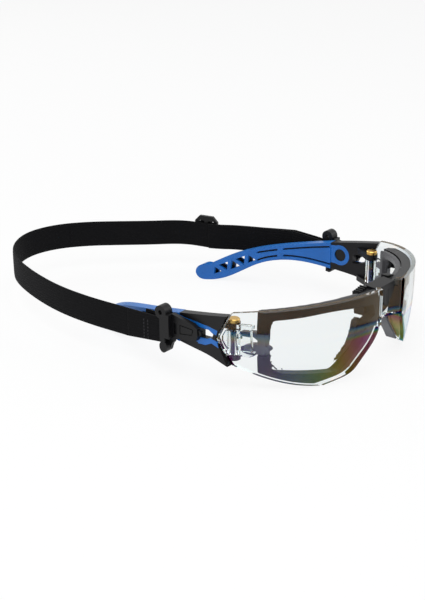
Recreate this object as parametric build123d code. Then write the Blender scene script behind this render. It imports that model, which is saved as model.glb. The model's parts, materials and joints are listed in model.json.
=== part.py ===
from build123d import *
import math
import os

# Sealed sports safety goggles: a one-piece clear lens with hinged temples, a clip-in
# gasket frame with foam liners, and an elastic head strap held by two side clips.
#
# Working frame, in millimetres: X across the face (+X is the wearer's left), Y backwards
# from the hinge line, Z up from the surface that the goggles rest on. Every piece is
# moved forwards on export, so that the origin is under the middle of the whole object.

# ---- Driving dimensions ------------------------------------------------------------

# Lens
lens_radius = 73.5            # outer face, in plan
lens_depth = 52.2             # from the hinge line forward to the lens front
lens_wall = 2.2
lens_bulge_radius = 180.0     # the face's own curve from top to bottom
lens_tilt = 7.0               # the top leans forward, in degrees
lens_middle_z = 24.5
lens_tongue_y = 6.9           # rearmost point of the lens, at the temple's notch
lens_tongue_z = 26.4
lens_ear_top = (-0.3, 40.2)   # rear top corner, as (y, z)
lens_ear_bottom = (-0.9, 12.4)
brow_front_z = 48.4           # top edge at the front
valley_radius = 12.0          # groove down the nose bridge
valley_floor_y = -46.5
valley_top_z = 44.2           # the top edge is notched down to here at the bridge
arch_top_z = 27.5
nose_flange_wall = 1.9
nose_flange_back_y = -41.5

# Temples
temple_wall = 4.4
temple_curve_start_y = 8.0
temple_curve_radius = 222.0
core_wall = 2.8               # the hard core inside the soft grip
tip_y = 109.6                 # centre of the rounded tip
tip_radius = 5.0
grip_wall = 5.4
grip_rim = 1.9                # width of the grip's outer rim
groove_width = 1.1
groove_end_y = 79.0           # behind here the grip's faces and rim are one
lattice_start_y = 83.0
lattice_pitch = 5.0
lattice_slope = -25.6         # of the row of openings, in degrees
grip_front_y = 32.0
joint_gap = 0.35              # between the lens and the temple's front edge
pocket_depth = 0.9            # recesses in the core for the grip's side pads

# Hinges
pin_inset = 6.5               # from the middle of the temple's wall in to the pin
pin_y = 1.6
pin_radius = 1.5
pin_cap_radius = 3.1
pin_cap_height = 2.0
running_gap = 0.05            # radial clearance of a turning fit
knuckle_radius = 3.4
knuckle_height = 3.2
hinge_swing_radius = 5.4      # room that the knuckles and their arms turn in
block_wall = 1.7              # the end piece's plate, against the lens
knuckle_upper_z = 31.6        # underside of the upper knuckle
knuckle_lower_z = 14.4
face_gap = 0.25               # between faces that slide past each other

# Gasket
gasket_gap = 0.4              # behind the lens
gasket_depth = 5.0
gasket_end_y = -12.0          # where the outer limb stops, in front of the hinge
gasket_limb_wall = 3.4
gasket_top_drop = 1.3         # below the lens's top edge
gasket_arm_wall = 2.8
gasket_arm_inset = 2.3        # the side arms lie this far behind the frame's front face
gasket_arm_low_z = 18.4       # the side arms bridge the outer limb between these heights
gasket_arm_high_z = 31.0
bridge_half_width = 16.5
foam_gap = 0.3
foam_depth = 4.5
foam_inset = 0.3              # the foam stops short of the frame's outer edges
foam_lip = 1.0                # and reaches this far into its eye openings

# Strap clips
boss_y = 25.9
boss_z = 27.4
boss_hole_radius = 3.7
boss_ring_radius = 6.2
paddle_wall = 2.6
paddle_gap = 0.3
clip_bar_y = 38.2
clip_bar_width = 3.3
clip_bar_wall = 1.5
clip_rod_radius = 1.05
clip_rod_inset = 1.6          # the rod's centre, out from the temple's outer face
eye_radius = 3.7
eye_hole_radius = 1.25
eye_z = 34.6

# Strap
strap_width = 16.0
strap_wall = 1.3
strap_bottom_z = 14.3
strap_back_y = 197.4          # outer face of the strap at the back of the head
layer_gap = 0.25
tack_wall = 0.24              # the sewn rows stand this far off the strap
tack_width = 0.5
adjuster_length = 15.5
adjuster_rise = 3.4           # the frame stands this far above the strap
adjuster_drop = 0.9
adjuster_wall = 2.0
adjuster_bar = 2.6

# Where the strap leaves each clip, as (out from the rod, back from the hinge line)
strap_lead_right = (2.25, 68.0)
strap_lead_left = (1.25, 58.0)

# Hand-chosen plan route of the strap, from the right clip round the back of the head
# to the slide adjuster and on to the left clip.
strap_route = [
    (-77.7, 92.0),
    (-75.8, 118.0),
    (-68.5, 146.0),
    (-57.5, strap_back_y - 25.0),
    (-43.0, strap_back_y - 9.0),
    (-24.0, strap_back_y + 0.2),
    (-4.0, strap_back_y - 2.4),
    (14.0, strap_back_y - 14.4),
    (28.0, strap_back_y - 29.4),
    (41.0, strap_back_y - 44.0),
    (52.4, strap_back_y - 55.0),
]
strap_route_left = [
    (66.9, 103.0),
    (72.6, 78.0),
]
adjuster_at = (61.9, 123.5)
adjuster_turn = -76.9         # direction of the strap at the adjuster, in degrees

big = 200.0

# Places that follow from the sizes above
lens_centre_y = lens_radius - lens_depth
temple_mid_x = math.sqrt(lens_radius ** 2 - lens_centre_y ** 2)
pin_x = temple_mid_x - pin_inset

os.makedirs("parts", exist_ok=True)


def side_prism(face, x_low, x_high):
    """A sketch drawn as (y, z), made solid between two X positions."""
    return extrude(Plane.YZ.offset(x_low) * face, x_high - x_low)


def front_prism(face, y_low, y_high):
    """A sketch drawn as (x, z), made solid between two Y positions."""
    return extrude(Plane.XZ.offset(-y_high) * face, y_high - y_low)


def upright(face, z_low, z_high):
    """A sketch drawn as (x, y), made solid between two heights."""
    return extrude(Plane.XY.offset(z_low) * face, z_high - z_low)


def post(x, y, radius, z_low, z_high):
    """A vertical round bar."""
    return upright(Pos(x, y) * Circle(radius), z_low, z_high)


def closed(*points):
    """A straight-sided sketch through the points."""
    return make_face(Polyline(*points, close=True))


def both_sides(shape):
    """The shape with its mirror image across the middle of the face."""
    return shape + mirror(shape, about=Plane.YZ)


def left_of(shape):
    """The wearer's-left version of a piece drawn on the right."""
    return mirror(shape, about=Plane.YZ)


def one_solid(shape):
    """The largest solid, as a plain solid."""
    return max(shape.solids(), key=lambda solid: solid.volume)


# ---- Lens ---------------------------------------------------------------------------

def shell_band(outer, depth):
    """A turned band behind the lens's outer face, from outer inwards by depth."""
    half = 34.0
    bulge = lens_bulge_radius - (lens_radius - outer)

    def reach(z):
        return outer - bulge + math.sqrt(bulge ** 2 - z ** 2)

    def inner_reach(z):
        inner_bulge = bulge - depth
        return outer - bulge + math.sqrt(inner_bulge ** 2 - z ** 2)

    profile = make_face([
        ThreePointArc((reach(half), half), (outer, 0), (reach(half), -half)),
        Line((reach(half), -half), (inner_reach(half), -half)),
        ThreePointArc((inner_reach(half), -half), (outer - depth, 0), (inner_reach(half), half)),
        Line((inner_reach(half), half), (reach(half), half)),
    ])
    ring = revolve(Plane.XZ * profile, Axis.Z)
    lean = Pos(0, -lens_depth / 2, lens_middle_z) * Rot(lens_tilt, 0, 0)
    return lean * Pos(0, lens_centre_y + lens_depth / 2, 0) * ring


def brow_line(drop):
    """Side-view region below the top edge, drop lower than the lens's own edge."""
    ear_y, ear_z = lens_ear_top
    slope = (ear_z - brow_front_z) / (ear_y + lens_depth)
    rear_y = 30.0
    rear_z = ear_z + slope * (rear_y - ear_y)
    middle = (-22.0, 44.9 - drop)
    edge = Spline((-58.0, brow_front_z + 0.6 - drop), middle, (rear_y, rear_z - drop))
    box = Polyline((rear_y, rear_z - drop), (rear_y, -30), (-58.0, -30),
                   (-58.0, brow_front_z + 0.6 - drop))
    return make_face([edge, box])


def lower_line(rise):
    """Side-view region above the bottom edge, raised by rise."""
    edge = Spline((-60.0, rise - 0.6), (-44.0, rise), (-33.0, rise + 1.1), (-14.0, rise + 7.3),
                  (10.0, rise + 15.4))
    box = Polyline((10.0, rise + 15.4), (10.0, 90), (-60.0, 90), (-60.0, rise - 0.6))
    return make_face([edge, box])


def nose_opening(inset):
    """Front-view outline of the nose gap, made smaller all round by inset."""
    half = [(11.0, arch_top_z + 0.5), (15.0, 19.5), (21.2, 11.0), (24.8, 6.0), (31.0, 3.1),
            (39.0, 0.5), (47.0, -3.0)]
    right = [(x - inset, z - inset * 0.5) for x, z in half]
    left = [(-x, z) for x, z in right]
    top = Line(left[0], right[0])
    side = Spline(*right, tangents=[(0.25, -1), (1.0, -0.35)])
    base = Line(right[-1], left[-1])
    other = Spline(*reversed(left), tangents=[(1.0, 0.35), (0.25, 1)])
    return make_face([top, side, base, other])


def inside_lens(outer):
    """Everything behind a face concentric with the lens."""
    half = 34.0
    bulge = lens_bulge_radius - (lens_radius - outer)
    end = outer - bulge + math.sqrt(bulge ** 2 - half ** 2)
    profile = make_face([
        ThreePointArc((end, half), (outer, 0), (end, -half)),
        Polyline((end, -half), (0, -half), (0, half), (end, half)),
    ])
    ring = revolve(Plane.XZ * profile, Axis.Z)
    lean = Pos(0, -lens_depth / 2, lens_middle_z) * Rot(lens_tilt, 0, 0)
    return lean * Pos(0, lens_centre_y + lens_depth / 2, 0) * ring


def rear_edge(gap):
    """Side-view region in front of the lens's pointed rear edge, moved back by gap."""
    top_y, top_z = lens_ear_top
    low_y, low_z = lens_ear_bottom
    top_slope = (lens_tongue_y - top_y) / (top_z - lens_tongue_z)
    low_slope = (lens_tongue_y - low_y) / (lens_tongue_z - low_z)
    return closed((-90, 60), (top_y + gap - top_slope * (60 - top_z), 60),
                  (lens_tongue_y + gap, lens_tongue_z),
                  (low_y + gap - low_slope * (low_z + 20), -20), (-90, -20))


def make_lens():
    """The one-piece lens: a toric shield, grooved and flanged at the nose."""
    behind_face = inside_lens(lens_radius)
    groove = post(0, valley_floor_y - valley_radius, valley_radius, -20, 80)
    groove_wall = post(0, valley_floor_y - valley_radius, valley_radius + lens_wall, -20, 80)
    shield = shell_band(lens_radius, lens_wall) + (groove_wall & behind_face) - groove
    shield &= side_prism(brow_line(0), -big, big)
    shield &= side_prism(lower_line(0), -big, big)
    shield &= side_prism(rear_edge(0), -big, big)
    notch = upright(Pos(0, valley_floor_y) * Rectangle(2 * 8.6, 12), valley_top_z, 60)
    flange = front_prism(nose_opening(-nose_flange_wall) - nose_opening(0), -60, nose_flange_back_y)
    flange &= behind_face & side_prism(lower_line(0), -big, big)
    return one_solid(shield - notch - front_prism(nose_opening(0), -90, -20) + flange - groove)


# ---- Hinges -------------------------------------------------------------------------

def between(y_low, y_high):
    """The right half of everything between two Y positions."""
    return upright(Pos(-big / 2, (y_low + y_high) / 2) * Rectangle(big, y_high - y_low), -20, 80)


def level_slab(z_low, z_high):
    """Everything between two heights."""
    return upright(Rectangle(2 * big, 2 * big), z_low, z_high)


block_low = knuckle_lower_z + knuckle_height + face_gap
block_high = knuckle_upper_z - face_gap


def make_hinge_block():
    """Clear end piece behind the lens: a barrel for the pin, a plate and two rails."""
    inner = lens_radius - lens_wall
    hug = shell_band(inner, block_wall)
    plate = hug & between(-9.4, 5.0) & level_slab(block_low + 0.6, block_high + 1.0)
    plate &= side_prism(rear_edge(-1.2), -big, big)
    rail_depth = shell_band(inner, block_wall + 0.7)
    rails = rail_depth & between(-10.0, 2.0) & (level_slab(33.2, 35.2) + level_slab(18.4, 20.4))
    barrel = post(-pin_x, pin_y, knuckle_radius, block_low, block_high)
    side_x = -temple_mid_x
    web_face = closed((-pin_x + 1.0, pin_y - 2.6), (side_x, pin_y - 2.6), (side_x, pin_y - 0.8),
                      (-pin_x, pin_y + 2.6))
    web = upright(web_face, block_low, block_high) & inside_lens(inner)
    tie = hug & between(-8.8, -4.0) & level_slab(block_low, 35.0)
    block = plate + rails + barrel + web + tie
    block &= side_prism(rear_edge(-0.8), -big, big) + level_slab(block_low, block_high)
    for slot_z in (22.4, 29.0):
        block -= side_prism(Pos(-3.6, slot_z) * Rectangle(2.2, 2.6), -big, -pin_x + 1.8)
    swing = post(-pin_x, pin_y, hinge_swing_radius, block_high, 60)
    swing += post(-pin_x, pin_y, hinge_swing_radius, -20, block_low)
    block -= swing + post(-pin_x, pin_y, pin_radius + running_gap, -20, 80)
    return one_solid(block)


def make_hinge_pin():
    """Headed pin, dropped through both knuckles and the block's barrel."""
    foot = knuckle_lower_z + 0.6
    head = knuckle_upper_z + knuckle_height
    shank = post(-pin_x, pin_y, pin_radius, foot, head)
    cap = post(-pin_x, pin_y, pin_cap_radius, head, head + pin_cap_height)
    cap = chamfer(cap.edges().group_by(Axis.Z)[-1], 0.5)
    return one_solid(shank + cap)


# ---- Temples ------------------------------------------------------------------------

def temple_band(wall, shift=0.0):
    """The right temple's sweep in plan: straight at the front, then curving inwards."""
    start = temple_curve_start_y
    end = 132.0
    centre_x = -temple_mid_x + temple_curve_radius
    sides = []
    for offset in (wall / 2 + shift, -wall / 2 + shift):
        radius = temple_curve_radius + offset
        turn = math.asin((end - start) / radius)
        sides.append([(-temple_mid_x - offset, -8.0), (-temple_mid_x - offset, start),
                      (centre_x - radius * math.cos(turn / 2), start + radius * math.sin(turn / 2)),
                      (centre_x - radius * math.cos(turn), start + radius * math.sin(turn))])
    (a0, a1, a2, a3), (b0, b1, b2, b3) = sides
    face = make_face([Line(a0, a1), ThreePointArc(a1, a2, a3), Line(a3, b3),
                      ThreePointArc(b3, b2, b1), Line(b1, b0), Line(b0, a0)])
    return upright(face, -10, 60)


def temple_outline(inset=0.0):
    """Side view of the temple, as (y, z), drawn inset all round by that much."""
    rise = inset * 1.05
    tip_z = tip_radius
    radius = tip_radius - inset
    back = (tip_y - 0.37 * radius, tip_z + 0.93 * radius)
    under = (tip_y, tip_z - radius)
    top = Spline((-0.4, 40.3 - rise), (31.0, 34.4 - rise), (60.0, 28.2 - rise),
                 (88.0, 20.2 - rise), back)
    tip = ThreePointArc(back, (tip_y + radius, tip_z), under)
    low = Spline(under, (96.0 - inset * 0.5, 3.2 + inset), (78.0, 13.6 + rise), (54.0, 19.1 + rise),
                 (30.0, 17.9 + rise), (12.0, 16.0 + rise), (-0.9, 12.5 + rise),
                 tangents=[(-1, 0), (-1, -0.27)])
    return make_face([top, tip, low, Line((-0.9, 12.5 + rise), (-0.4, 40.3 - rise))])


def window_outline():
    """The temple's window, a slanted six-sided opening."""
    return closed((17.3, 29.9), (11.5, 30.0), (8.6, 28.6), (9.0, 26.2), (13.4, 24.4), (17.3, 24.2))


def behind_front(start):
    """Everything further back than start."""
    return side_prism(Pos(start + 100, 20) * Rectangle(200, 200), -big, big)


outline = temple_outline()
core_outline = temple_outline(grip_rim)
groove_outline = temple_outline(grip_rim + groove_width)


def lattice_cells():
    """Triangular openings that lighten the tip, in a sloping row with alternating points."""
    cells = []
    for step, size in enumerate([5.6, 6.2, 6.4, 6.0, 5.0]):
        y = lattice_start_y + step * lattice_pitch
        z = 16.4 + (y - lattice_start_y) * math.tan(math.radians(lattice_slope))
        flip = 1 if step % 2 else -1
        base = flip * 0.4 * size
        triangle = closed((-size / 2, base), (size / 2, base), (0, -base * 1.1))
        cells.append(Pos(y, z) * Rot(0, 0, lattice_slope) * triangle)
    return cells


def side_pad_face():
    """Outer pad of the grip: it lies under the clip and forks round the window."""
    stem = closed((grip_front_y + 1.0, 33.2), (29.0, 32.6), (18.0, 32.3), (18.0, 21.6), (30.0, 20.0),
                  (grip_front_y + 1.0, 20.0))
    upper = closed((19.0, 32.3), (11.5, 31.9), (5.9, 31.0), (6.6, 28.4), (9.0, 28.6), (11.5, 30.0),
                   (19.0, 30.0))
    lower = closed((19.0, 24.2), (13.4, 24.4), (10.2, 25.8), (6.2, 24.8), (5.2, 21.6), (9.8, 23.0),
                   (14.0, 21.0), (19.0, 20.6))
    return stem + upper + lower


def inner_pad_face():
    """Inner pad of the grip: a ring round the boss hole, with a neck to the rear."""
    neck = closed((grip_front_y + 1.0, boss_z + 5.4), (boss_y, boss_z + 5.6), (boss_y, boss_z - 5.8),
                  (grip_front_y + 1.0, boss_z - 5.4))
    return Pos(boss_y, boss_z) * Circle(boss_ring_radius) + neck


def pad_solids():
    """The grip's two side pads."""
    half_wall = temple_wall / 2
    outer = temple_band(pocket_depth, half_wall - pocket_depth / 2)
    inner = temple_band(pocket_depth, -half_wall + pocket_depth / 2)
    return (side_prism(side_pad_face(), -big, -40) & outer) + (
        side_prism(inner_pad_face(), -big, -40) & inner)


def make_temple():
    """The hard black temple: front plate with hinge knuckles, and the core of the grip."""
    front = side_prism(outline, -big, -40) & temple_band(temple_wall)
    front -= behind_front(grip_front_y)
    core = side_prism(core_outline, -big, -40) & temple_band(core_wall) & behind_front(grip_front_y)
    temple = front + core - side_prism(rear_edge(joint_gap), -big, big)
    clear = post(-pin_x, pin_y, pin_cap_radius + face_gap, knuckle_upper_z + knuckle_height, 60)
    for low in (knuckle_lower_z, knuckle_upper_z):
        eye = Pos(-pin_x, pin_y) * Circle(knuckle_radius)
        wall_x = -temple_mid_x + temple_wall / 2 - 0.9
        arm = closed((-pin_x + 1.0, pin_y + 3.2), (-pin_x - 3.3, pin_y - 0.6),
                     (wall_x + 1.4, 5.4), (wall_x, 9.5), (wall_x, 14.0), (wall_x + 1.4, 14.0))
        temple += upright(eye + arm, low, low + knuckle_height)
    temple -= clear + post(-pin_x, pin_y, pin_radius + running_gap, 0, 60)
    temple -= side_prism(window_outline(), -big, -40)
    temple -= side_prism(Pos(boss_y, boss_z) * Circle(boss_hole_radius), -big, -40)
    for cell in lattice_cells():
        temple -= side_prism(cell, -big, -30)
    return one_solid(temple - pad_solids())


def make_grip():
    """The soft blue grip: rim, grooved faces, lattice tip and the two side pads."""
    body = side_prism(outline, -big, -30) & temple_band(grip_wall) & behind_front(grip_front_y)
    core = side_prism(core_outline, -big, -30) & temple_band(core_wall)
    channel = side_prism(core_outline - groove_outline, -big, -30)
    bridge = side_prism(Pos(64.5, 20) * Rectangle(3.4, 60), -big, -30)
    grip = body - core - (channel - bridge - behind_front(groove_end_y))
    grip += pad_solids()
    grip -= side_prism(Pos(boss_y, boss_z) * Circle(boss_hole_radius), -big, -40)
    for cell in lattice_cells():
        grip -= side_prism(cell, -big, -30)
    return grip


# ---- Gasket ---------------------------------------------------------------------------

gasket_face = lens_radius - lens_wall - gasket_gap
gasket_end_angle = math.degrees(math.acos((lens_centre_y - gasket_end_y) / gasket_face))
gasket_limb_angle = math.degrees(gasket_limb_wall / gasket_face)


def wedge(angle):
    """Plan wedge that opens forwards from the lens's centre, up to angle on both sides."""
    corners = [(0, lens_centre_y)]
    for turn in (angle, angle / 2, -angle / 2, -angle):
        turn = math.radians(turn)
        corners.append((big * math.sin(turn), lens_centre_y - big * math.cos(turn)))
    return upright(closed(*corners), -20, 80)


def limb_x(face_radius, turn):
    """Distance from the middle, on a face of that radius, at turn degrees inside its end."""
    return face_radius * math.sin(math.radians(gasket_end_angle - turn))


def eye_opening(face_radius, grow):
    """Front view of the left eye's opening at that radius, made larger all round by grow."""
    corners = [(15.0, 41.3), (38.0, 42.4), (limb_x(face_radius, 5.1), 38.6),
               (limb_x(face_radius, 3.3), 24.0), (limb_x(face_radius, 7.9), 9.2), (31.0, 7.0),
               (20.4, 20.6), (18.6, 32.4), (13.4, 35.2)]
    rounds = [1.2, 60.0, 2.5, 60.0, 7.0, 3.0, 16.0, 3.0, 0.8]
    middle_x, middle_z = 38.5, 24.5
    width, height = 44.0, 35.0
    grown = [(middle_x + (x - middle_x) * (1 + 2 * grow / width),
              middle_z + (z - middle_z) * (1 + 2 * grow / height)) for x, z in corners]
    return make_face(FilletPolyline(*grown, radius=rounds, close=True))


def gasket_blank(face_radius, depth, drop):
    """The gasket's outer shape before its eye openings, made smaller all round by drop."""
    blank = shell_band(face_radius, depth)
    blank &= side_prism(brow_line(gasket_top_drop + drop), -big, big)
    blank &= side_prism(lower_line(0.5 + drop), -big, big)
    half = [(limb_x(face_radius, turn), z) for turn, z in
            ((2.7, 70), (2.7, 42.0), (-1.0, 34.0), (-0.3, 18.0), (3.6, 8.0), (7.8, -10))]
    limb = closed(*half, *[(-x, z) for x, z in reversed(half)])
    blank &= front_prism(limb, -80, 30) & wedge(gasket_end_angle - math.degrees(drop / gasket_face))
    return blank - front_prism(nose_opening(-nose_flange_wall - gasket_gap - drop), -90, 40)


def make_gasket():
    """The clip-in frame: a rim round each eye, open where its side arms go, and the hook."""
    frame = gasket_blank(gasket_face, gasket_depth, 0.0)
    opening = eye_opening(gasket_face, 0.0)
    openings = opening + mirror(opening, about=Plane.YZ)
    frame -= front_prism(openings, -90, 40) & wedge(gasket_end_angle - gasket_limb_angle)
    arm_place = upright(Pos(-65.0, -16.0) * Rectangle(24.0, 14.0), gasket_arm_low_z, gasket_arm_high_z)
    frame -= both_sides(arm_place)
    back_y = valley_floor_y + lens_wall + gasket_gap
    half = bridge_half_width
    body_face = closed((1.5 - half, 33.6), (-half, 46.0), (half, 46.0), (half - 1.5, 33.6), (0, 29.6))
    body = front_prism(body_face, back_y, back_y + 6.0)
    groove = valley_radius + lens_wall + gasket_gap
    frame -= post(0, valley_floor_y - valley_radius, groove, -20, 80)
    frame += body - post(0, valley_floor_y - valley_radius, groove, -20, 80)
    hook_front = valley_floor_y - 2.2
    over = side_prism(closed((hook_front, valley_top_z + 0.3), (hook_front + 0.9, valley_top_z + 2.6),
                             (back_y + 3.0, valley_top_z + 3.2), (back_y + 3.0, valley_top_z - 3.0),
                             (back_y + 0.01, valley_top_z - 3.0), (back_y + 0.01, valley_top_z + 0.3)),
                      -8.2, 8.2)
    beak = front_prism(closed((-8.2, valley_top_z + 0.4), (8.2, valley_top_z + 0.4), (1.2, 35.6),
                              (-1.2, 35.6)), hook_front, valley_floor_y + 3)
    beak -= post(0, valley_floor_y - valley_radius, valley_radius - gasket_gap - 1.6, -20, 80)
    beak &= post(0, valley_floor_y - valley_radius, valley_radius - gasket_gap, -20, 80)
    frame += over + beak
    for step in range(4):
        rib_x = 10.4 + 1.7 * step
        rib = upright(Pos(rib_x, back_y + 3.4) * Rectangle(0.8, 4.0), 45.0, 47.6 - 0.35 * step)
        frame += both_sides(rib)
    return one_solid(frame)


def make_gasket_arm():
    """Soft side arm, right: it bridges the frame's outer limb and carries an oval pad."""
    hook = closed((-14.2, gasket_arm_high_z), (-3.0, gasket_arm_high_z), (-3.0, 28.6), (-9.0, 28.2),
                  (-10.8, 26.6), (-10.8, gasket_arm_low_z), (-14.2, gasket_arm_low_z))
    pad = Pos(-9.2, 21.4) * Ellipse(6.4, 2.9)
    band = shell_band(gasket_face - gasket_arm_inset, gasket_arm_wall)
    return one_solid(band & side_prism(hook + pad, -big, -40))


def make_foam():
    """Soft liner behind the gasket frame, round the right eye."""
    face = gasket_face - gasket_depth - foam_gap
    ring = gasket_blank(face, foam_depth, foam_inset) & between(-90.0, 30.0)
    opening = front_prism(mirror(eye_opening(face, -foam_lip), about=Plane.YZ), -90, 40)
    ring -= opening & wedge(gasket_end_angle - gasket_limb_angle - math.degrees(foam_lip / face))
    back_y = valley_floor_y + lens_wall + gasket_gap + 6.0
    bridge = Rectangle(2 * (bridge_half_width + foam_gap), 40 + 2 * foam_gap)
    keep_out = upright(Pos(0, back_y - 20) * bridge, 28, 60)
    return one_solid(ring - keep_out)


def make_nose_pad():
    """Grey pad seated on the back of the nose flange, right side."""
    slab = nose_opening(-nose_flange_wall) - nose_opening(1.0)
    pad = front_prism(slab, nose_flange_back_y + 0.02, nose_flange_back_y + 6.0)
    return one_solid(pad & upright(Pos(-25, -38) * Rectangle(30, 20), 7.0, 23.5))


# ---- Strap clips ----------------------------------------------------------------------

clip_x = -(temple_mid_x + temple_wall / 2 + paddle_gap)
rod_x = -(temple_mid_x + temple_wall / 2 + clip_rod_inset)
rod_y = clip_bar_y + 1.0
bar_x = rod_x - clip_rod_radius - layer_gap - strap_wall - layer_gap


def make_clip():
    """Side clip: a tapered paddle with a peg, and a strap rod behind an upright bar."""
    plate = closed((16.6, 25.6), (17.6, 23.2), (22.0, 21.9), (34.4, 20.4), (35.4, 21.6), (35.4, 33.2),
                   (34.2, 34.2), (20.0, 31.6), (17.0, 30.0))
    paddle = side_prism(plate, clip_x - paddle_wall, clip_x)
    face_x = clip_x - paddle_wall
    paddle -= side_prism(Pos(31.6, 26.4) * Rectangle(1.6, 6.0), face_x, face_x + 0.8)
    tongue = closed((19.4, 28.4), (20.4, 25.4), (28.6, 24.2), (28.6, 29.4), (20.4, 29.0))
    groove = tongue - offset(tongue, amount=-0.45)
    paddle -= side_prism(groove, face_x, face_x + 0.5)
    peg_depth = temple_wall + paddle_gap + 0.4
    peg_face = Pos(boss_y, boss_z) * Circle(boss_hole_radius - running_gap)
    peg = side_prism(peg_face, clip_x, clip_x + peg_depth)
    nose = side_prism(Pos(16.4, 27.6) * Ellipse(1.7, 1.5), clip_x - 1.9, clip_x - 0.1)
    bar_mid = bar_x - clip_bar_wall / 2
    bar_face = bar_x - clip_bar_wall
    bar = upright(Pos(bar_mid, clip_bar_y) * Rectangle(clip_bar_wall, clip_bar_width), 18.6, 34.0)
    rod = post(rod_x, rod_y, clip_rod_radius, 12.6, 35.0)
    eye_centre = Pos(clip_bar_y + 0.9, eye_z)
    eye = side_prism(eye_centre * Circle(eye_radius), bar_face, rod_x + clip_rod_radius)
    foot_face = Pos(clip_bar_y - 0.6, 15.6) * Ellipse(2.6, 3.2)
    foot = side_prism(foot_face, bar_face, rod_x + clip_rod_radius)
    low_arm = closed((33.0, 20.6), (clip_bar_y - 2.2, 19.6), (clip_bar_y + 0.6, 14.0),
                     (clip_bar_y - 2.6, 13.6), (34.2, 17.2), (33.0, 18.6))
    foot += side_prism(low_arm, face_x, rod_x + clip_rod_radius)
    gate = closed((33.6, 34.0), (33.6, 20.8), (clip_bar_y, 20.8), (clip_bar_y, 34.0))
    link = side_prism(gate, bar_face, bar_x)
    step = side_prism(closed((33.6, 34.0), (33.6, 20.8), (35.4, 20.8), (35.4, 34.0)),
                      bar_face, clip_x - paddle_wall / 2)
    strap_room = upright(Pos(rod_x, clip_bar_y + 9.0) * Rectangle(
        2 * (clip_rod_radius + layer_gap + strap_wall + layer_gap), 22.4),
        strap_bottom_z - 0.4, strap_bottom_z + strap_width + 0.4)
    frame = eye + foot
    frame -= strap_room
    eye_hole = side_prism(eye_centre * Circle(eye_hole_radius), -big, -40)
    clip = paddle + peg + nose + bar + link + step + frame + rod
    return one_solid(clip - eye_hole)


# ---- Strap ----------------------------------------------------------------------------

def path_through(points):
    """Straight runs joined by tangent arcs, as large as their runs allow or as stated."""
    radii = []
    for before, here, after in zip(points, points[1:], points[2:]):
        if len(here) == 3:
            radii.append(here[2])
            continue
        run_in = math.dist(before[:2], here)
        run_out = math.dist(here, after[:2])
        turn = math.atan2(after[1] - here[1], after[0] - here[0]) - math.atan2(
            here[1] - before[1], here[0] - before[0])
        turn = abs((turn + math.pi) % (2 * math.pi) - math.pi)
        radii.append(0.45 * min(run_in, run_out) / math.tan(turn / 2))
    return FilletPolyline(*[point[:2] for point in points], radius=radii)


layer_pitch = strap_wall + layer_gap
loop_radius = clip_rod_radius + layer_gap + strap_wall / 2


def at_adjuster(along, out, *radius):
    """A plan point given along the strap and outwards from the adjuster's frame."""
    turn = math.radians(adjuster_turn)
    x = adjuster_at[0] + along * math.cos(turn) - out * math.sin(turn)
    y = adjuster_at[1] + along * math.sin(turn) + out * math.cos(turn)
    return (x, y, *radius)


def strap_points():
    """Plan route of the whole strap, from its sewn end on the right to its left tail."""
    low = adjuster_wall / 2 + layer_gap + strap_wall / 2
    high = low + layer_pitch
    leg = adjuster_bar / 2 + 1.5 * strap_wall + 2 * layer_gap + 0.3
    loop_half = adjuster_bar / 2 + layer_gap + strap_wall / 2
    tight = strap_wall / 2 + layer_gap
    tightest = strap_wall / 2 + 0.05
    rod_bend = loop_radius - 0.05
    sewn_x = rod_x - loop_radius + layer_pitch
    left_side = strap_route_left + [(-rod_x + strap_lead_left[0], strap_lead_left[1])]
    points = [(sewn_x, rod_y + 14.8), (sewn_x, rod_y + 10.8), (rod_x + loop_radius, rod_y + 4.8)]
    points += [(rod_x + loop_radius, rod_y - loop_radius, rod_bend)]
    points += [(rod_x - loop_radius, rod_y - loop_radius, rod_bend)]
    points += [(rod_x - strap_lead_right[0], strap_lead_right[1])]
    points += strap_route
    points += [at_adjuster(-11.0, -low), at_adjuster(-leg, -low, tight), at_adjuster(-leg, high, tight)]
    points += [at_adjuster(leg, high, tight), at_adjuster(leg, -low, tight), at_adjuster(11.0, -low)]
    points += left_side
    points += [(-rod_x + loop_radius, rod_y - loop_radius, rod_bend)]
    points += [(-rod_x - loop_radius, rod_y - loop_radius, rod_bend)]
    points += [(-rod_x - loop_radius, rod_y + 4.8)]
    points += [(x - layer_pitch - 0.15, y) for x, y in reversed(left_side)]
    points += [at_adjuster(11.0, -low - layer_pitch - 0.1), at_adjuster(leg - 0.8, -high, tight)]
    points += [at_adjuster(loop_half - 1.2, -low, tightest), at_adjuster(-loop_half, -low, tight)]
    points += [at_adjuster(-loop_half, low, tight), at_adjuster(loop_half, low, tight)]
    points += [at_adjuster(loop_half, -0.4)]
    return points


def make_strap():
    """The elastic webbing: one strip, looped round both clip rods and the adjuster."""
    path = path_through(strap_points())
    return one_solid(upright(trace(path, strap_wall), strap_bottom_z, strap_bottom_z + strap_width))


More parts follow.
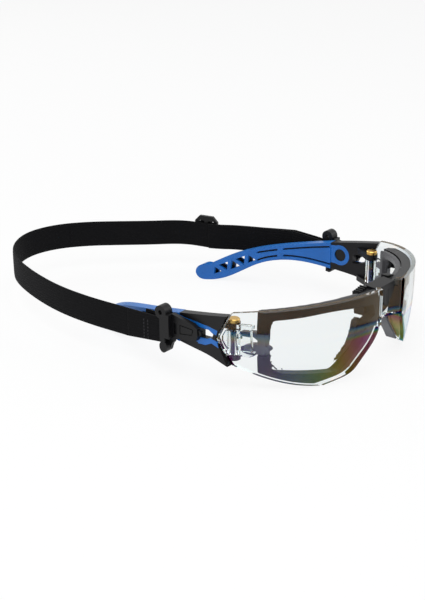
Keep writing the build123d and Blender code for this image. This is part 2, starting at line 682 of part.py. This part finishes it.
def make_adjuster():
    """Three-bar slide that the strap weaves through, with a raised, sloped top rail."""
    low = strap_bottom_z - adjuster_drop
    high = strap_bottom_z + strap_width + adjuster_rise
    half = adjuster_length / 2
    face = closed((-half, low + 1.0), (-half + 1.0, low), (half - 1.0, low), (half, low + 1.0),
                  (half, high - 3.4), (half - 3.2, high), (-half + 3.2, high), (-half, high - 3.4))
    plate = extrude(Plane.XZ.offset(-adjuster_wall / 2) * face, adjuster_wall)
    slot_low = strap_bottom_z - 0.3
    slot_high = strap_bottom_z + strap_width + 0.3
    slot_wide = (adjuster_length - 3 * adjuster_bar) / 2
    for side in (-1, 1):
        middle = side * (adjuster_bar + slot_wide) / 2
        slot = Pos(middle, 0, (slot_low + slot_high) / 2) * Box(slot_wide, 3 * adjuster_wall,
                                                                slot_high - slot_low)
        plate -= slot
    return one_solid(Pos(*adjuster_at, 0) * Rot(0, 0, adjuster_turn) * plate)


def make_stitching():
    """Two rows of bar tacks on the strap's outer face, where its end is sewn down."""
    start_x = rod_x - loop_radius
    end_x = rod_x - strap_lead_right[0]
    end_y = strap_lead_right[1]
    rows = []
    for y in (rod_y + 9.4, rod_y + 12.2):
        strap_x = start_x + (end_x - start_x) * (y - rod_y + loop_radius) / (end_y - rod_y + loop_radius)
        tack_x = strap_x - strap_wall / 2 - tack_wall / 2 - 0.01
        tack = Box(tack_wall, tack_width, strap_width - 3.0)
        rows.append(Pos(tack_x, y, strap_bottom_z + strap_width / 2) * tack)
    return Compound(rows)


pieces = {}


def add_pair(name, shape):
    """A piece for the right side and its mirror image for the left."""
    pieces[name + "_right"] = shape
    pieces[name + "_left"] = left_of(shape)


pieces["lens"] = make_lens()
add_pair("hinge_block", make_hinge_block())
add_pair("hinge_pin", make_hinge_pin())
add_pair("temple", make_temple())
add_pair("temple_grip", one_solid(make_grip()))
pieces["gasket_frame"] = make_gasket()
add_pair("gasket_arm", make_gasket_arm())
add_pair("foam_liner", make_foam())
add_pair("nose_pad", make_nose_pad())
add_pair("strap_clip", make_clip())
pieces["head_strap"] = make_strap()
pieces["strap_adjuster"] = make_adjuster()
pieces["strap_stitching"] = make_stitching()

# The origin goes under the middle of the whole object
whole = Compound(list(pieces.values())).bounding_box()
middle_y = (whole.min.Y + whole.max.Y) / 2
print(f"middle at Y = {middle_y:.4f}, pins at Y = {pin_y - middle_y:.4f} and X = {pin_x:.4f}")
print(f"boss at Y = {boss_y - middle_y:.4f}")
for node, shape in pieces.items():
    placed = Pos(0, -middle_y, 0) * shape
    placed.label = node
    export_step(placed, f"parts/{node}.step")
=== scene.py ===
import json
import math

import bmesh
import bpy
import numpy as np
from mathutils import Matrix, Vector


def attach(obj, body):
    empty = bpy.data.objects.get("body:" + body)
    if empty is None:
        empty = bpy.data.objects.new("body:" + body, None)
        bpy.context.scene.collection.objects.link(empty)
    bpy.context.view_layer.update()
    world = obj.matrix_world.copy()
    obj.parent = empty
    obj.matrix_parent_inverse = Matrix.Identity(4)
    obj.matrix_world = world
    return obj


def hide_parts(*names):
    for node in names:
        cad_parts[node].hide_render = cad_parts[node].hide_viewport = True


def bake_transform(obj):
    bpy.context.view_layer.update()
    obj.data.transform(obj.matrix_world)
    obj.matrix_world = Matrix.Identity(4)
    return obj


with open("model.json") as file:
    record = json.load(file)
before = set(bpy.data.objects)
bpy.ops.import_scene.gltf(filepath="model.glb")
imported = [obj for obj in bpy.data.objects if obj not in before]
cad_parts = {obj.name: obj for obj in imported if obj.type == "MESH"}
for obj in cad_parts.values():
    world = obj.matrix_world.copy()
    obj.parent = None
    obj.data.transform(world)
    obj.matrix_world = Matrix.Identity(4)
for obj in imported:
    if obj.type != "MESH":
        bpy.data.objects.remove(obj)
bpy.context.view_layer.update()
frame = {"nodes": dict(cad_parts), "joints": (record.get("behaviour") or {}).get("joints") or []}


# ---- Camera, floor and light ----------------------------------------------------------
# The goggles stand on a plain white studio floor. A long lens looks down on them from the
# wearer's front right, and large soft boxes overhead and at both sides light them evenly.

mm = 0.001


def linear(code):
    """An sRGB hex colour as linear red, green and blue, and an alpha of 1."""
    part = np.array([int(code[i:i + 2], 16) for i in (0, 2, 4)]) / 255
    low = part / 12.92
    high = ((part + 0.055) / 1.055) ** 2.4
    return (*np.where(part <= 0.04045, low, high), 1.0)


def add(tree, kind, links=(), **settings):
    """Add a shader node, set its properties or inputs, and link its inputs.

    A setting's name is a property, an input with _ for each space, or i and an input's number.
    """
    node = tree.nodes.new(kind)
    for key, value in settings.items():
        if hasattr(node, key):
            setattr(node, key, value)
        else:
            name = int(key[1:]) if key[0] == "i" and key[1:].isdigit() else key.replace("_", " ")
            node.inputs[name].default_value = value
    for name, source in dict(links).items():
        tree.links.new(source, node.inputs[name])
    return node


# The hinge line's place along Y in millimetres, which other places are measured from
fold = next(joint for joint in frame["joints"] if joint["name"] == "right_temple_fold")
hinge_y = round(fold["pos_m"][1] / mm, 2)

target_behind_hinge, target_z = 66.84, 9.6
camera_target = Vector((0.0, hinge_y + target_behind_hinge, target_z)) * mm
camera_azimuth = math.radians(-50.6)
camera_height = math.radians(21.8)
camera_distance = 0.766
camera_roll = math.radians(-0.49)
back = Vector((math.sin(camera_azimuth) * math.cos(camera_height),
               -math.cos(camera_azimuth) * math.cos(camera_height), math.sin(camera_height)))
lens_data = bpy.data.cameras.new("camera")
lens_data.sensor_fit = "VERTICAL"
lens_data.sensor_height = 36
lens_data.lens = 79.3
camera = bpy.data.objects.new("camera", lens_data)
bpy.context.collection.objects.link(camera)
camera.location = camera_target + camera_distance * back
aim = back.to_track_quat("Z", "Y").to_matrix().to_4x4()
camera.rotation_euler = aim.to_euler()
camera.rotation_euler.rotate_axis("Z", camera_roll)
bpy.context.scene.camera = camera
bpy.context.scene.view_settings.view_transform = "Standard"


def blank_material(name):
    """A new material with an empty node tree."""
    material = bpy.data.materials.new(name)
    material.use_nodes = True
    material.node_tree.nodes.clear()
    return material, material.node_tree


def background_rays(tree):
    """1 where the camera, a mirror or clear plastic sees the surroundings, else 0."""
    path = add(tree, "ShaderNodeLightPath").outputs
    seen = add(tree, "ShaderNodeMath", {0: path["Is Camera Ray"], 1: path["Is Glossy Ray"]},
               operation="MAXIMUM")
    seen = add(tree, "ShaderNodeMath", {0: seen.outputs[0], 1: path["Is Transmission Ray"]},
               operation="MAXIMUM")
    return seen.outputs[0]


world = bpy.data.worlds.new("white_studio")
bpy.context.scene.world = world
world.use_nodes = True
tree = world.node_tree
tree.nodes.clear()
white = add(tree, "ShaderNodeBackground", Color=(1, 1, 1, 1), Strength=1.0)
soft = add(tree, "ShaderNodeBackground", Color=linear("F6F7F8"), Strength=0.45)
mixed = add(tree, "ShaderNodeMixShader", {0: background_rays(tree), 1: soft.outputs[0],
                                          2: white.outputs[0]})
add(tree, "ShaderNodeOutputWorld", {0: mixed.outputs[0]})

floor_size = 6.0
floor_mesh = bpy.data.meshes.new("floor")
corners = np.array([(-1, -1, 0), (1, -1, 0), (1, 1, 0), (-1, 1, 0)]) * floor_size / 2
floor_mesh.from_pydata(corners.tolist(), [], [(0, 1, 2, 3)])
floor = bpy.data.objects.new("floor", floor_mesh)
bpy.context.collection.objects.link(floor)
floor_white, tree = blank_material("painted_studio_floor")
paint = add(tree, "ShaderNodeBsdfDiffuse", Color=linear("F4F4F4"))
glow = add(tree, "ShaderNodeEmission", Color=(1, 1, 1, 1), Strength=1.0)
floor_glow = 0.86             # the rest is real paint, which keeps the faint shadow
share = add(tree, "ShaderNodeMath", {0: background_rays(tree)}, operation="MULTIPLY", i1=floor_glow)
mixed = add(tree, "ShaderNodeMixShader", {0: share.outputs[0], 1: paint.outputs[0], 2: glow.outputs[0]})
add(tree, "ShaderNodeOutputMaterial", {0: mixed.outputs[0]})
floor_mesh.materials.append(floor_white)

for name, place, size, power in (
        ("softbox_above", (-0.25, -0.15, 1.0), 0.9, 6.0),
        ("softbox_right", (-1.0, -0.5, 0.5), 0.6, 3.0),
        ("softbox_left", (0.9, -0.7, 0.6), 0.6, 2.5),
        ("softbox_behind", (0.2, 1.0, 0.7), 0.6, 2.5)):
    lamp = bpy.data.lights.new(name, "AREA")
    lamp.size = size
    lamp.energy = power
    box = bpy.data.objects.new(name, lamp)
    box.location = place
    box.rotation_euler = Vector(place).to_track_quat("Z", "Y").to_euler()
    bpy.context.collection.objects.link(box)


# ---- Black hard plastic: temples' front plates, clips, adjuster ------------------------
# Glass-filled nylon and acetal, injection moulded in one colour with a fine spark-eroded
# texture, so they shine softly and their edges catch the light.

def plastic(name, colour, roughness, grain_mm, bump_mm, specular=0.5):
    """A moulded plastic: Principled with fine grain in roughness and bump."""
    material, tree = blank_material(name)
    place = add(tree, "ShaderNodeTexCoord")
    grain = add(tree, "ShaderNodeTexNoise", {"Vector": place.outputs["Object"]},
                Scale=1 / (grain_mm * mm), Detail=3.0)
    cloud_mm, tone_swing, rough_swing = 14, 0.1, 0.06
    cloud = add(tree, "ShaderNodeTexNoise", {"Vector": place.outputs["Object"]},
                Scale=1 / (cloud_mm * mm), Detail=2.0)
    tone = add(tree, "ShaderNodeValToRGB", {"Fac": cloud.outputs[0]})
    base = np.array(linear(colour))
    for stop, position, swing in zip(tone.color_ramp.elements, (0.3, 0.7), (-tone_swing, tone_swing)):
        stop.position = position
        stop.color = tuple(np.minimum(base * [1 + swing, 1 + swing, 1 + swing, 1], 1))
    rough = add(tree, "ShaderNodeMapRange", {"Value": grain.outputs[0]},
                To_Min=roughness - rough_swing, To_Max=roughness + rough_swing)
    bump = add(tree, "ShaderNodeBump", {"Height": grain.outputs[0]}, Strength=0.25,
               Distance=bump_mm * mm)
    shade = add(tree, "ShaderNodeBsdfPrincipled",
                {"Base Color": tone.outputs[0], "Roughness": rough.outputs[0], "Normal": bump.outputs[0]},
                IOR=1.5, Specular_IOR_Level=specular)
    add(tree, "ShaderNodeOutputMaterial", {0: shade.outputs[0]})
    return material


nodes = frame["nodes"]


def dress(material, *names):
    """Give CAD nodes a material."""
    for name in names:
        for slot in nodes[name].material_slots:
            slot.material = material


black_nylon = plastic("black_glass_filled_nylon", "0B0A0D", 0.42, 0.35, 0.05, specular=0.25)
dress(black_nylon, "temple_right", "temple_left")

black_acetal = plastic("black_acetal", "0B0B0D", 0.42, 0.3, 0.05, specular=0.25)
dress(black_acetal, "strap_clip_right", "strap_clip_left", "strap_adjuster")


# ---- Blue soft grips -------------------------------------------------------------------
# Thermoplastic elastomer moulded over the temples' cores. It is a saturated blue with a
# satin skin, and a faint sheen where it turns away.

blue_elastomer = plastic("blue_elastomer_overmould", "0A60B2", 0.38, 0.5, 0.04, specular=0.45)
sheen = blue_elastomer.node_tree.nodes["Principled BSDF"]
sheen.inputs["Sheen Weight"].default_value = 0.25
sheen.inputs["Sheen Roughness"].default_value = 0.4
sheen.inputs["Sheen Tint"].default_value = linear("6FC4FF")
dress(blue_elastomer, "temple_grip_right", "temple_grip_left")


# ---- Clear lens and end pieces ----------------------------------------------------------
# Polycarbonate, injection moulded and dipped in a hard anti-reflection coating. The coating
# is a thin film, so dark things seen through the lens take rainbow colours, and long paths
# inside the plastic are faintly grey.

clear, tree = blank_material("hard_coated_polycarbonate")
film_outer, film_nose = 352.0, 640.0    # coating thickness in nanometres, low on the lens
film_top = 100.0              # and along the top, where it hardly reflects at all
outer_x, nose_x = 0.060, 0.018
low_z, top_z = 0.025, 0.033   # the thickness changes over to the top's between these heights
place = add(tree, "ShaderNodeTexCoord")
across = add(tree, "ShaderNodeSeparateXYZ", {0: place.outputs["Object"]})
side = add(tree, "ShaderNodeMath", {0: across.outputs["X"]}, operation="ABSOLUTE")
film_low = add(tree, "ShaderNodeMapRange", {"Value": side.outputs[0]}, From_Min=outer_x,
               From_Max=nose_x, To_Min=film_outer, To_Max=film_nose)
height = add(tree, "ShaderNodeMapRange", {"Value": across.outputs["Z"]}, From_Min=low_z,
             From_Max=top_z)
film = add(tree, "ShaderNodeMix", {"Factor": height.outputs[0], "A": film_low.outputs[0]},
           data_type="FLOAT", B=film_top)
shade = add(tree, "ShaderNodeBsdfPrincipled", {"Thin Film Thickness": film.outputs[0]},
            Roughness=0.0, IOR=1.585, Base_Color=linear("F7FAFA"), Transmission_Weight=1.0,
            Thin_Film_IOR=1.26, Specular_IOR_Level=0.85)
tint = add(tree, "ShaderNodeVolumeAbsorption", Color=linear("B9C4C8"), Density=45.0)
add(tree, "ShaderNodeOutputMaterial", {0: shade.outputs[0], 1: tint.outputs[0]})
dress(clear, "lens", "hinge_block_right", "hinge_block_left")


# ---- Hinge pins -------------------------------------------------------------------------
# Steel pins, turned and blackened, are pressed down through the hinges' knuckles. Each has
# a bevelled brass head, which stands on the upper knuckle.

brass, tree = blank_material("turned_brass")
place = add(tree, "ShaderNodeTexCoord")
scratch_mm, scratch_depth = 0.25, 0.02 * mm
scratch = add(tree, "ShaderNodeTexNoise", {"Vector": place.outputs["Object"]},
              Scale=1 / (scratch_mm * mm), Detail=2.0)
turned = add(tree, "ShaderNodeBump", {"Height": scratch.outputs[0]}, Strength=0.2,
             Distance=scratch_depth)
cap_z = 0.0347                # underside of the brass head
height = add(tree, "ShaderNodeSeparateXYZ", {0: place.outputs["Object"]})
is_cap = add(tree, "ShaderNodeMath", {0: height.outputs["Z"]}, operation="GREATER_THAN", i1=cap_z)
tone = add(tree, "ShaderNodeMix", {0: is_cap.outputs[0]}, data_type="RGBA",
           i6=linear("1A1A1C"), i7=linear("C9A15A"))
shade = add(tree, "ShaderNodeBsdfPrincipled", {"Base Color": tone.outputs[2], "Normal": turned.outputs[0]},
            Metallic=1.0, Roughness=0.3)
add(tree, "ShaderNodeOutputMaterial", {0: shade.outputs[0]})
dress(brass, "hinge_pin_right", "hinge_pin_left")


# ---- Gasket frame and nose pads -----------------------------------------------------------
# The frame is a satin black moulding that snaps in behind the lens. The nose pads and the
# frame's side arms are a softer grey elastomer.

black_gasket = plastic("black_gasket_moulding", "0C0C0E", 0.42, 0.4, 0.05, specular=0.25)
dress(black_gasket, "gasket_frame")
grey_pad = plastic("grey_soft_elastomer", "5C5D62", 0.5, 0.4, 0.04)
dress(grey_pad, "nose_pad_right", "nose_pad_left", "gasket_arm_right", "gasket_arm_left")


# ---- Foam liners --------------------------------------------------------------------------
# Fine open-cell foam, die cut and bonded to the back of the frame. Its cut edges are
# slightly rounded, and its cells show as a soft pitted surface.

foam, tree = blank_material("open_cell_foam")
place = add(tree, "ShaderNodeTexCoord")
cell_mm = 0.6                 # drawn coarser than the real cells, which are about 0.3 mm
cells = add(tree, "ShaderNodeTexVoronoi", {"Vector": place.outputs["Object"]}, Scale=1 / (cell_mm * mm))
tone = add(tree, "ShaderNodeValToRGB", {"Fac": cells.outputs["Distance"]})
tone.color_ramp.elements[0].color = linear("1A1A1C")
tone.color_ramp.elements[1].color = linear("3B3B3F")
pit_depth = 0.2 * mm
pits = add(tree, "ShaderNodeBump", {"Height": cells.outputs["Distance"]}, Strength=0.6,
           Distance=pit_depth)
shade = add(tree, "ShaderNodeBsdfPrincipled", {"Base Color": tone.outputs[0], "Normal": pits.outputs[0]},
            Roughness=0.9, Sheen_Weight=0.3)
add(tree, "ShaderNodeOutputMaterial", {0: shade.outputs[0]})

axis_behind_hinge = 19.7      # the upright axis that the lens curves round
lens_axis_y = (hinge_y + axis_behind_hinge) * mm
foam_reach = 63.4             # from that axis to the liner's free side
remesh_voxel = 0.55 * mm


def press_shallow(mesh):
    """Push the free side of a liner out to an even distance from the lens's axis.

    In plan each vertex keeps its direction from the axis, and its distance r becomes
    max(r, foam_reach).
    """
    point = np.empty(len(mesh.vertices) * 3)
    mesh.vertices.foreach_get("co", point)
    point = point.reshape(-1, 3)
    plan = point[:, :2] - [0, lens_axis_y]
    reach = np.linalg.norm(plan, axis=1)
    plan *= (np.maximum(reach, foam_reach * mm) / reach)[:, None]
    point[:, :2] = plan + [0, lens_axis_y]
    mesh.vertices.foreach_set("co", point.ravel())


for side in ("right", "left"):
    source = nodes["foam_liner_" + side]
    liner = bpy.data.objects.new("foam_" + side, source.data.copy())
    bpy.context.collection.objects.link(liner)
    shell = bmesh.new()
    shell.from_mesh(liner.data)
    bmesh.ops.remove_doubles(shell, verts=shell.verts, dist=0.001 * mm)
    shell.to_mesh(liner.data)
    shell.free()
    press_shallow(liner.data)
    remesh = liner.modifiers.new("remesh", "REMESH")
    remesh.mode = "VOXEL"
    remesh.voxel_size = remesh_voxel
    smooth = liner.modifiers.new("rounded", "SMOOTH")
    smooth.iterations = 6
    smooth.factor = 0.5
    bpy.context.view_layer.update()
    shape = bpy.data.meshes.new_from_object(liner.evaluated_get(bpy.context.evaluated_depsgraph_get()))
    liner.modifiers.clear()
    liner.data = shape
    liner.data.materials.clear()
    liner.data.materials.append(foam)
    liner.data.polygons.foreach_set("use_smooth", np.ones(len(shape.polygons), bool))
    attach(liner, "front")
    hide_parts("foam_liner_" + side)


# ---- Head strap ---------------------------------------------------------------------------
# One length of black woven elastic webbing, 16 mm wide. It is sewn round the rod of the
# right clip, runs round the back of the head, passes the slide adjuster, and turns round
# the left clip's rod to come back to the adjuster.

clip_y = hinge_y + 37.6       # the clips' rods
rod_x = 74.15
loop_x = 1.95                 # from the rod's centre to the middle of the webbing
webbing_wall = 1.15
webbing_width = 16.0
strap_low, strap_high = 14.3, 30.3    # its edges, where nothing lifts it

# Woven rubber and polyester: rows of weft every 0.9 mm across the ribs, dull and very dark
woven, tree = blank_material("woven_elastic_webbing")
place = add(tree, "ShaderNodeTexCoord")
split = add(tree, "ShaderNodeSeparateXYZ", {0: place.outputs["UV"]})
weft_pitch = 0.9 * mm
warp_pitch = 0.8 * mm
waves = []
for axis, pitch in (("X", weft_pitch), ("Y", warp_pitch)):
    turns = add(tree, "ShaderNodeMath", {0: split.outputs[axis]}, operation="MULTIPLY",
                i1=2 * math.pi / pitch)
    waves.append(add(tree, "ShaderNodeMath", {0: turns.outputs[0]}, operation="SINE").outputs[0])
checks = add(tree, "ShaderNodeMath", {0: waves[0], 1: waves[1]}, operation="MULTIPLY")
fuzz_mm = 0.5
fuzz = add(tree, "ShaderNodeTexNoise", {"Vector": place.outputs["Object"]},
           Scale=1 / (fuzz_mm * mm), Detail=3.0)
height = add(tree, "ShaderNodeMath", {0: checks.outputs[0], 1: fuzz.outputs[0]}, operation="ADD")
tone = add(tree, "ShaderNodeValToRGB", {"Fac": height.outputs[0]})
tone.color_ramp.elements[0].color = linear("060607")
tone.color_ramp.elements[1].color = linear("131315")
weave_depth = 0.08 * mm
weave = add(tree, "ShaderNodeBump", {"Height": height.outputs[0]}, Strength=0.5,
            Distance=weave_depth)
shade = add(tree, "ShaderNodeBsdfPrincipled", {"Base Color": tone.outputs[0], "Normal": weave.outputs[0]},
            Roughness=0.75, Specular_IOR_Level=0.08, Sheen_Weight=0.01)
add(tree, "ShaderNodeOutputMaterial", {0: shade.outputs[0]})


def smooth_route(points, pitch=0.8):
    """Plan line through the middles of the route's legs: a quadratic B-spline.

    Each leg's middle is a knot and each point pulls the curve towards it, so that a corner
    becomes a parabola that touches both legs. The result has points about pitch apart.
    """
    route = np.array(points, float)
    middles = (route[:-1] + route[1:]) / 2
    start = middles.copy()
    start[0], start[-1] = route[0], route[-1]
    step = np.linspace(0, 1, 24, endpoint=False)[None, :, None]
    first, pull, last = start[:-1, None], route[1:-1, None], start[1:, None]
    line = ((1 - step) ** 2 * first + 2 * step * (1 - step) * pull + step ** 2 * last).reshape(-1, 2)
    line = np.vstack([line, route[-1:]])
    run = np.concatenate([[0], np.cumsum(np.linalg.norm(np.diff(line, axis=0), axis=1))])
    even = np.linspace(0, run[-1], max(int(run[-1] / pitch), 8))
    return np.column_stack([np.interp(even, run, line[:, k]) for k in (0, 1)]), even


def webbing(name, points, low=None, high=None):
    """A flat strip of webbing carried along a plan route, as a closed tube of quads.

    Across, its section is a flat oval: half the width times cos(a), and half the thickness
    times a steep power of sin(a), with shallow ribs, cos(2 pi x / rib), on both faces. Low
    and high are the heights of its edges along the route, as (share of length, z) pairs.
    """
    line, run = smooth_route(points)
    ahead = np.gradient(line, axis=0)
    ahead /= np.linalg.norm(ahead, axis=1)[:, None]
    out = np.column_stack([ahead[:, 1], -ahead[:, 0]])
    share = run / run[-1]
    bottom = np.interp(share, *zip(*(low or [(0, strap_low), (1, strap_low)])))
    top = np.interp(share, *zip(*(high or [(0, strap_high), (1, strap_high)])))
    section_points, flatness, rib_pitch, rib_share = 112, 0.22, 1.6, 0.13
    around = np.linspace(0, 2 * math.pi, section_points, endpoint=False)
    across = np.cos(around)
    flat = np.sign(np.sin(around)) * np.abs(np.sin(around)) ** flatness
    ribs = 1 + rib_share * np.cos(2 * math.pi * across * webbing_width / 2 / rib_pitch)
    depth = webbing_wall / 2 * flat * ribs
    middle, half = (top + bottom) / 2, (top - bottom) / 2
    grid = np.empty((len(line), len(around), 3))
    grid[..., 0] = line[:, :1] + out[:, :1] * depth
    grid[..., 1] = line[:, 1:] + out[:, 1:] * depth
    grid[..., 2] = middle[:, None] + half[:, None] * across
    rows, columns = grid.shape[:2]
    index = np.arange(rows * columns).reshape(rows, columns)
    beside = np.roll(index, -1, axis=1)
    quads = np.stack([index[:-1], beside[:-1], beside[1:], index[1:]], axis=-1).reshape(-1, 4)
    mesh = bpy.data.meshes.new(name)
    mesh.from_pydata((grid.reshape(-1, 3) * mm).tolist(), [],
                     quads.tolist() + [index[0][::-1].tolist(), index[-1].tolist()])
    uv = mesh.uv_layers.new(name="length_and_width")
    loop_point = np.empty(len(mesh.loops), int)
    mesh.loops.foreach_get("vertex_index", loop_point)
    flat_run = np.repeat(run, columns)
    flat_across = np.tile(across * webbing_width / 2, rows)
    uv.data.foreach_set("uv", np.column_stack([flat_run, flat_across])[loop_point].ravel() * mm)
    shell = bmesh.new()
    shell.from_mesh(mesh)
    bmesh.ops.recalc_face_normals(shell, faces=shell.faces)
    shell.to_mesh(mesh)
    shell.free()
    side_or_end = np.ones(len(mesh.polygons), bool)
    side_or_end[-2:] = False      # the two flat ends keep the sides' shading clean
    mesh.polygons.foreach_set("use_smooth", side_or_end)
    piece = bpy.data.objects.new(name, mesh)
    bpy.context.collection.objects.link(piece)
    mesh.materials.append(woven)
    return piece


# The route is given in millimetres, and its places along Y are measured from a line this far
# in front of the hinge line
route_start = 1.6


def routed(*points):
    """Points of the route, moved from its own start line to the object's frame."""
    return [(x, y + hinge_y - route_start) for x, y in points]


right_run = routed((-76.4, 68.0), (-77.7, 92.0), (-75.8, 118.0), (-68.5, 146.0), (-57.5, 172.4),
                   (-43.0, 188.4), (-24.0, 197.6))
seam = routed((5.0, 189.0))   # the two halves meet here, behind the head
back_run = routed((14.0, 183.0), (28.0, 168.0), (41.0, 153.4), (52.4, 142.4))
adjuster_at = np.array(routed((61.9, 123.5))[0])
adjuster_turn = math.radians(-76.9)
forward = np.array((math.cos(adjuster_turn), math.sin(adjuster_turn)))
outward = np.array((-math.sin(adjuster_turn), math.cos(adjuster_turn)))


def by_adjuster(along, out):
    """A plan point given along the strap and outwards from the middle of the adjuster."""
    return tuple(adjuster_at + along * forward + out * outward)


left_run = routed((66.9, 103.0), (72.6, 78.0))
behind = -1.9                 # the strap passes the adjuster on the head's side
layer = 1.55                  # from one layer of the strap to the next

# Each clip's end piece stops at this place, where it rides on the temple
seam_y = hinge_y + 62.4
right_seam, left_seam, return_seam = (-76.3, seam_y), (75.0, seam_y), (72.6, seam_y)
left_low, left_high = 18.0, 33.2        # the webbing's edges there, on the left

right_end = webbing(
    "strap_end_right", routed((-72.6, 54.0), (-72.4, 46.0))
    + [(-rod_x + loop_x, clip_y - loop_x), (-rod_x - loop_x, clip_y - loop_x)]
    + routed((-76.2, 48.0)) + [right_seam],
    low=[(0, 18.3), (0.35, 17.6), (1, strap_low)],
    high=[(0, 31.3), (0.35, 31.0), (1, strap_high)])
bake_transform(right_end)
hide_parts("head_strap")

right_half = webbing("strap_right", [right_seam] + right_run + routed((-4.0, 195.0)) + seam)
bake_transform(right_half)

left_half = webbing(
    "strap_left", seam + back_run
    + [by_adjuster(-11.0, behind), by_adjuster(-1.0, behind + 0.02), by_adjuster(11.0, behind)]
    + left_run + [left_seam],
    low=[(0, strap_low), (0.6, 13.6), (0.85, 15.4), (1, left_low)],
    high=[(0, strap_high), (0.6, 29.3), (0.85, 31.4), (1, left_high)])
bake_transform(left_half)

left_end = webbing(
    "strap_end_left", [left_seam] + routed((75.9, 52.0))
    + [(rod_x + loop_x, clip_y - loop_x), (rod_x - loop_x, clip_y - loop_x)]
    + routed((72.9, 48.0)) + [return_seam],
    low=[(0, left_low), (0.4, 18.6), (0.6, 18.6), (1, left_low)],
    high=[(0, left_high), (0.4, 31.6), (0.6, 31.6), (1, left_high)])
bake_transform(left_end)

inner_left = webbing(
    "strap_return", [return_seam] + routed((70.6, 78.0), (65.2, 103.0))
    + [by_adjuster(11.0, behind - layer), by_adjuster(3.0, behind - layer)],
    low=[(0, left_low), (0.5, 15.6), (1, 13.8)],
    high=[(0, left_high), (0.5, 31.4), (1, 29.6)])
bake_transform(inner_left)

# The turn of webbing over the adjuster's middle bar, which slides with it
over_bar = webbing("strap_over_adjuster", [
    by_adjuster(-6.4, behind + 0.1), by_adjuster(-4.6, behind + 0.1), by_adjuster(-2.6, 1.7),
    by_adjuster(0.0, 2.0), by_adjuster(2.6, 1.7), by_adjuster(4.6, behind + 0.1),
    by_adjuster(6.4, behind + 0.1)])
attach(over_bar, "adjuster")


# ---- Stitching ----------------------------------------------------------------------------
# Two bar tacks of black polyester thread hold the folded end of the strap by the right
# clip. Each is a row of short raised stitches across the webbing.

thread = plastic("black_polyester_thread", "26262A", 0.6, 0.3, 0.03)
stitch_length, stitch_pitch, thread_radius = 1.5, 1.9, 0.2
tack_margin = 2.2             # from the webbing's edges to the ends of a row
tack_x = -76.82               # on the webbing's outer face


def tack(name, x, y):
    """A row of stitches up the strap at one place.

    Each stitch is a bead: a circle round the row's line, whose radius swells and shrinks
    along the stitch as the square root of a sine, and all of the row shares one grid.
    """
    first, last = strap_low + tack_margin, strap_high - tack_margin
    count = int((last - first) / stitch_pitch)
    along = np.linspace(0, 1, 9)[:, None]
    round_it = np.linspace(0, 2 * math.pi, 9)[None, :-1]
    swell = thread_radius * np.sqrt(np.sin(math.pi * np.clip(along, 0.002, 0.998)))
    bead_z = along * stitch_length + 0 * round_it
    bead_x = swell * np.cos(round_it)
    bead_y = swell * np.sin(round_it)
    starts = (first + stitch_pitch * np.arange(count))[:, None, None]
    grid = np.stack([x + bead_x + 0 * starts, y + bead_y + 0 * starts, bead_z + starts], axis=-1)
    rows, columns = grid.shape[1:3]
    index = np.arange(grid[..., 0].size).reshape(count, rows, columns)
    beside = np.roll(index, -1, axis=2)
    quads = np.stack([index[:, :-1], beside[:, :-1], beside[:, 1:], index[:, 1:]], axis=-1).reshape(-1, 4)
    ends = index[:, 0, ::-1].tolist() + index[:, -1].tolist()
    mesh = bpy.data.meshes.new(name)
    mesh.from_pydata((grid.reshape(-1, 3) * mm).tolist(), [], quads.tolist() + ends)
    mesh.polygons.foreach_set("use_smooth", np.ones(len(mesh.polygons), bool))
    mesh.materials.append(thread)
    piece = bpy.data.objects.new(name, mesh)
    bpy.context.collection.objects.link(piece)
    return piece


for name, y in (("stitches_front", hinge_y + 47.8), ("stitches_rear", hinge_y + 50.6)):
    row = tack(name, tack_x, y)
    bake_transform(row)
    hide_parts("strap_stitching")
